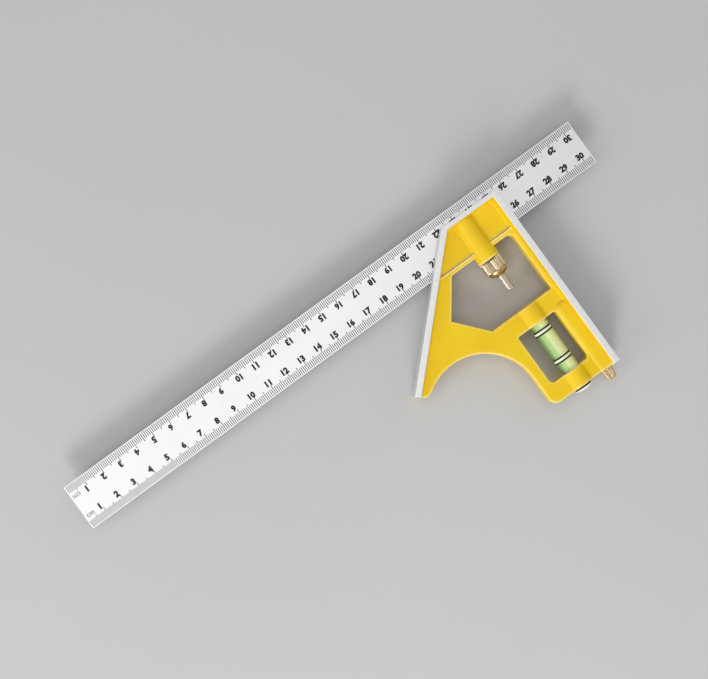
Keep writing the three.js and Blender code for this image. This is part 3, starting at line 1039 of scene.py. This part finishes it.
def make_spring():
    """The wire as a plain helix between the bore's floor and the bolt's collar."""
    sides = 10
    steps = SPRING_TURNS * 24
    low = SPRING.low.y + SPRING_WIRE
    high = SPRING.high.y - SPRING_WIRE
    coil = SPRING.radius - SPRING_WIRE
    points = []
    faces = []
    for i in range(steps + 1):
        angle = FULL * SPRING_TURNS * i / steps
        outward = Vector((math.cos(angle), 0, math.sin(angle)))
        centre = Vector((BOLT.axis, low + (high - low) * i / steps, 0)) + coil * outward
        for j in range(sides):
            turn = FULL * j / sides
            around = outward * math.cos(turn) + Vector((0, 1, 0)) * math.sin(turn)
            points.append(centre + SPRING_WIRE * around)
    for i in range(steps):
        for j in range(sides):
            a = i * sides + j
            b = i * sides + (j + 1) % sides
            faces.append((a, b, b + sides, a + sides))
    faces.append(tuple(range(sides)))
    faces.append(tuple(steps * sides + j for j in range(sides)))
    spring = object_from_faces("lock_spring_finished", points, faces)
    finish_piece(spring, None, "bolt_steel", [BOLT_STEEL], "lock_spring", crisp_angle=60)
    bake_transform(spring)


def knurl(teeth, depth_at, plain_below):
    """Straight knurling: V-shaped grooves between teeth around a piece wherever its radius is above a
    given one, as deep as depth_at(y)."""

    def cut(radius, y, angle):
        if radius <= plain_below:
            return radius
        wave = abs(((angle * teeth / FULL) % 1) * 2 - 1)
        return radius - depth_at(y) * (1 - wave)

    return cut


NUT_TEETH = 30
NUT_COLLAR = 6.0  # the nut tapers below this
NUT_TAPER = [(5.3, 6.45), (5.25, 6.9), (4.95, 7.5), (4.2, 8.4)]  # radius, and depth below the nut's top
NUT_GROOVE = 4.95  # radius of the groove under the knurl
NUT_TOOTH = 0.34
NUT_NOTCH = 1.3  # how deep the teeth are cut at the top, where the knurling ends
NUT_NOTCH_HEIGHT = 0.75
NUT_END_RADIUS = 3.0
KNURL_CRISP_ANGLE = 28


def make_nut():
    """A knurled collar with a groove under it and a taper down to a narrow end."""
    top = NUT.high.y
    bottom = NUT.low.y
    collar = top - NUT_COLLAR
    notch = top - NUT_NOTCH_HEIGHT
    bore = SHANK_RADIUS + 0.12
    chamfer = 0.3  # of the bore
    edge = 0.15
    profile = [(bore, bottom + chamfer), (bore + chamfer, bottom)]
    profile += [(NUT_END_RADIUS - 0.2, bottom), (NUT_END_RADIUS, bottom + edge)]
    profile += [(radius, top - depth) for radius, depth in reversed(NUT_TAPER)]
    profile += [(NUT_GROOVE, collar - 0.4), (NUT_GROOVE, collar - 0.1)]
    profile += [(NUT.radius - 0.25, collar), (NUT.radius, collar + 0.4)]
    profile += [(NUT.radius, notch), (NUT.radius, notch + edge), (NUT.radius, top - edge)]
    profile += [(NUT.radius - edge, top), (bore + chamfer, top), (bore, top - chamfer)]

    def tooth_depth(y):
        return NUT_NOTCH if y > notch + edge / 2 else NUT_TOOTH

    teeth = knurl(NUT_TEETH, tooth_depth, NUT.radius - 0.4)
    nut = turned("lock_nut_finished", profile, NUT.axis, NUT_TEETH * 8, teeth)
    finish_piece(nut, "lock_nut", "brass", [NUT_BRASS], "lock_nut", crisp_angle=KNURL_CRISP_ANGLE)


# ---- Level vial ----


def make_tube():
    """The vial's tube, closed at its upper end."""
    inner = END_PLUG.radius + GAP
    dome = 0.8
    end_wall = 1.6
    profile = [(0, TUBE.high.y - end_wall), (inner, TUBE.high.y - end_wall)]
    profile += [(inner, TUBE.low.y), (TUBE.radius, TUBE.low.y)]
    profile += fillet((TUBE.radius, TUBE.high.y), dome, 0)
    profile += [(0, TUBE.high.y)]
    tube = turned("vial_tube_finished", profile, TUBE.axis)
    finish_piece(tube, "head", "vial_acrylic", [ACRYLIC], "vial_tube")


def make_liquid():
    edge = 0.5
    liquid = rounded_rod("vial_liquid_finished", LIQUID.radius, LIQUID.y, LIQUID.axis, edge)
    finish_piece(liquid, "head", "vial_liquid", [GREEN_LIQUID], "vial_liquid")


def make_bubble():
    """A bubble that floats against the tube's upper wall: its top follows the wall, and it hangs below."""
    radius = BUBBLE.radius
    centre = (BUBBLE.low.y + BUBBLE.high.y) / 2
    half = (BUBBLE.high.y - BUBBLE.low.y) / 2 - radius
    profile = [(0, centre - half - radius)]
    profile += arc((0, centre - half), radius, -QUARTER, 0, 8)[1:]
    profile += arc((0, centre + half), radius, 0, QUARTER, 8)[:-1]
    profile += [(0, centre + half + radius)]
    bubble = turned("vial_bubble_finished", profile, BUBBLE.axis)
    wall = LIQUID.radius + GAP / 3
    for vertex in bubble.data.vertices:
        hanging = min(2 * vertex.co.z, 0)
        vertex.co.z = math.sqrt(wall ** 2 - (vertex.co.x - TUBE.axis) ** 2) + hanging
    finish_piece(bubble, "bubble", "vial_air", [AIR], "vial_bubble", crisp_angle=60)


def make_end_plug():
    edge = 0.3
    plug = rounded_rod("vial_end_plug_finished", END_PLUG.radius, END_PLUG.y, END_PLUG.axis, edge)
    finish_piece(plug, "head", "vial_acrylic", [ACRYLIC], "vial_end_plug")


VIAL_LINES = [-50.6, -52.6, -67.0, -69.0]  # the middles of two pairs
LINE_WIDTH = 0.85
LINE_THICKNESS = 0.02
BAND_THICKNESS = 0.012


def print_on_vial(name, spans, thickness, slot, material):
    """Thin rings around the tube, one over each (low, high) span, as one piece."""
    outer = TUBE.radius + thickness
    shape = bmesh.new()
    for low, high in spans:
        profile = [(TUBE.radius, low), (outer, low), (outer, high), (TUBE.radius, high)]
        ring = turned("ring", profile, TUBE.axis)
        shape.from_mesh(ring.data)
        bpy.data.objects.remove(ring)
    mesh = bpy.data.meshes.new(name)
    shape.to_mesh(mesh)
    shape.free()
    finish_piece(object_from(name, mesh), "head", slot, [material])


def make_vial_print():
    """The two pairs of black lines that the bubble is read against, and a pale band between each pair."""
    half = LINE_WIDTH / 2
    lines = [(y - half, y + half) for y in VIAL_LINES]
    bands = [(low + half, high - half) for high, low in (VIAL_LINES[:2], VIAL_LINES[2:])]
    print_on_vial("vial_lines", lines, LINE_THICKNESS, "printed_black", BLACK)
    print_on_vial("vial_bands", bands, BAND_THICKNESS, "vial_acrylic", VIAL_WHITE)


PLUG_NECK_RADIUS = 3.6
PLUG_DOME = 1.45


def make_bore_plug():
    """The domed plug in the mouth of the vial bore, with a neck that carries a gasket."""
    radius = BORE_PLUG.radius
    edge = 0.3
    neck_top = HEAD.low.y + 0.1
    neck_bottom = GASKET.low.y - GAP
    shoulder = BORE_PLUG.low.y + PLUG_DOME
    profile = [(0, BORE_PLUG.low.y)]
    turn_at_neck = math.acos((shoulder - neck_bottom) / PLUG_DOME)
    steps = 12
    for i in range(1, steps + 1):
        turn = turn_at_neck * i / steps
        profile.append((radius * math.sin(turn), shoulder - PLUG_DOME * math.cos(turn)))
    profile += [(PLUG_NECK_RADIUS, neck_bottom), (PLUG_NECK_RADIUS, neck_top), (radius, neck_top)]
    profile += fillet((radius, BORE_PLUG.high.y), edge, 0)
    profile += [(0, BORE_PLUG.high.y)]
    plug = turned("vial_bore_plug_finished", profile, BORE_PLUG.axis)
    finish_piece(plug, "head", "white_plastic", [WHITE_PLASTIC], "vial_bore_plug")


def make_gasket():
    """A rubber ring round the plug's neck, with rounded outer edges. Its black also stands in as painted
    shade for the dark gap under the head.
    """
    inner = PLUG_NECK_RADIUS + GAP
    outer = GASKET.radius - GAP
    edge = 0.2
    profile = [(inner, GASKET.low.y)]
    profile += fillet((outer, GASKET.low.y), edge, -QUARTER)
    profile += fillet((outer, GASKET.high.y), edge, 0)
    profile += [(inner, GASKET.high.y)]
    gasket = turned("vial_bore_gasket_finished", profile, GASKET.axis)
    finish_piece(gasket, "head", "black_rubber", [BLACK_RUBBER], "vial_bore_gasket")


# ---- Scriber ----


def make_bushing():
    bore = NEEDLE.radius + GAP / 2
    profile = [(bore, BUSHING.low.y), (BUSHING.radius, BUSHING.low.y)]
    profile += [(BUSHING.radius, BUSHING.high.y), (bore, BUSHING.high.y)]
    bushing = turned("scriber_bushing_finished", profile, KNOB.axis)
    finish_piece(bushing, "head", "brass", [KNOB_BRASS], "scriber_bushing")


def make_needle():
    """A steel rod that tapers to a blunted point."""
    tip = NEEDLE.high.y
    blunt = (0.12, tip - 0.1)
    profile = [(0, NEEDLE.low.y), (NEEDLE.radius, NEEDLE.low.y), (NEEDLE.radius, tip - NEEDLE_TAPER)]
    profile += [blunt, (0, tip)]
    needle = turned("scriber_needle_finished", profile, KNOB.axis, 40)
    finish_piece(needle, "scriber", "bolt_steel", [BOLT_STEEL], "scriber_needle")


KNOB_TEETH = 12
KNOB_TOOTH = 0.42
KNOB_END_RADIUS = 2.6


def make_knob():
    """A knurled knob that narrows to a rounded end, with a blind bore for the needle."""
    top = KNOB.high.y
    bottom = KNOB.low.y
    bore = NEEDLE.radius + GAP / 2
    bore_end = top - NEEDLE_IN_KNOB - GAP
    dome = 0.7
    chamfer = 0.3
    knurl_height = 2.6
    profile = [(0, bottom)]
    profile += fillet((KNOB_END_RADIUS, bottom), dome, -QUARTER)
    profile += [(KNOB.radius, top - knurl_height), (KNOB.radius, top - chamfer), (KNOB.radius - chamfer, top)]
    profile += [(bore, top), (bore, bore_end), (0, bore_end)]
    teeth = knurl(KNOB_TEETH, lambda y: KNOB_TOOTH, KNOB.radius - 0.55)
    knob = turned("scriber_knob_finished", profile, KNOB.axis, KNOB_TEETH * 12, teeth)
    finish_piece(knob, "scriber", "brass", [KNOB_BRASS], "scriber_knob", crisp_angle=KNURL_CRISP_ANGLE)


# ---- Studio ----


def make_floor():
    half = 4.0  # metres
    corners = [(-half, -half, 0), (half, -half, 0), (half, half, 0), (-half, half, 0)]
    mesh = bpy.data.meshes.new("floor")
    mesh.from_pydata(corners, [], [(0, 1, 2, 3)])
    floor = object_from("floor", mesh)
    mesh.materials.append(floor_surface())


def aim(thing, target, up):
    """Turns a camera or light at a target, with a given direction upwards in its view."""
    forward = (Vector(target) - thing.location).normalized()
    right = forward.cross(Vector(up)).normalized()
    above = right.cross(forward)
    turn = Matrix((right, above, -forward)).transposed()
    thing.rotation_euler = turn.to_euler()


def make_camera():
    """Nearly square above the tool, turned so that the rule runs up to the right."""
    data = bpy.data.cameras.new("camera")
    data.sensor_width = 36
    data.lens = 71.82
    data.clip_start = 0.01
    camera = object_from("camera", data)
    camera.location = (-0.0283, 0.0387, 0.700)
    target = (0.003633, 0.032838, 0.0096)
    roll = math.radians(36.112)
    aim(camera, target, (math.sin(roll), math.cos(roll), 0))
    bpy.context.scene.camera = camera


def add_softbox(name, place, size, power):
    """A square area light, its size in metres and its power in watts, aimed at the tool's middle."""
    data = bpy.data.lights.new(name, "AREA")
    data.shape = "SQUARE"
    data.size = size
    data.energy = power
    light = object_from(name, data)
    light.location = place
    aim(light, (0, 0, 0), (0, 1, 0.01))


def make_lights():
    add_softbox("key", (-0.95, -1.15, 0.8), 0.55, 17.5)
    add_softbox("left", (-1.25, 0.1, 0.75), 0.7, 4)
    add_softbox("right", (1.3, 0.3, 0.7), 0.8, 2)
    add_softbox("top", (-0.3, 0.1, 1.6), 1.5, 4.4)
    world = bpy.data.worlds.new("studio")
    world.use_nodes = True
    background = world.node_tree.nodes["Background"]
    background.inputs["Color"].default_value = (1.0, 1.0, 1.0, 1)
    background.inputs["Strength"].default_value = 0.52
    bpy.context.scene.world = world
    bpy.context.scene.view_settings.view_transform = "Standard"


make_camera()
make_lights()
make_floor()
make_head()
make_rule()
make_markings()
make_bolt()
make_spring()
make_nut()
make_tube()
make_liquid()
make_bubble()
make_end_plug()
make_vial_print()
make_bore_plug()
make_gasket()
make_bushing()
make_needle()
make_knob()
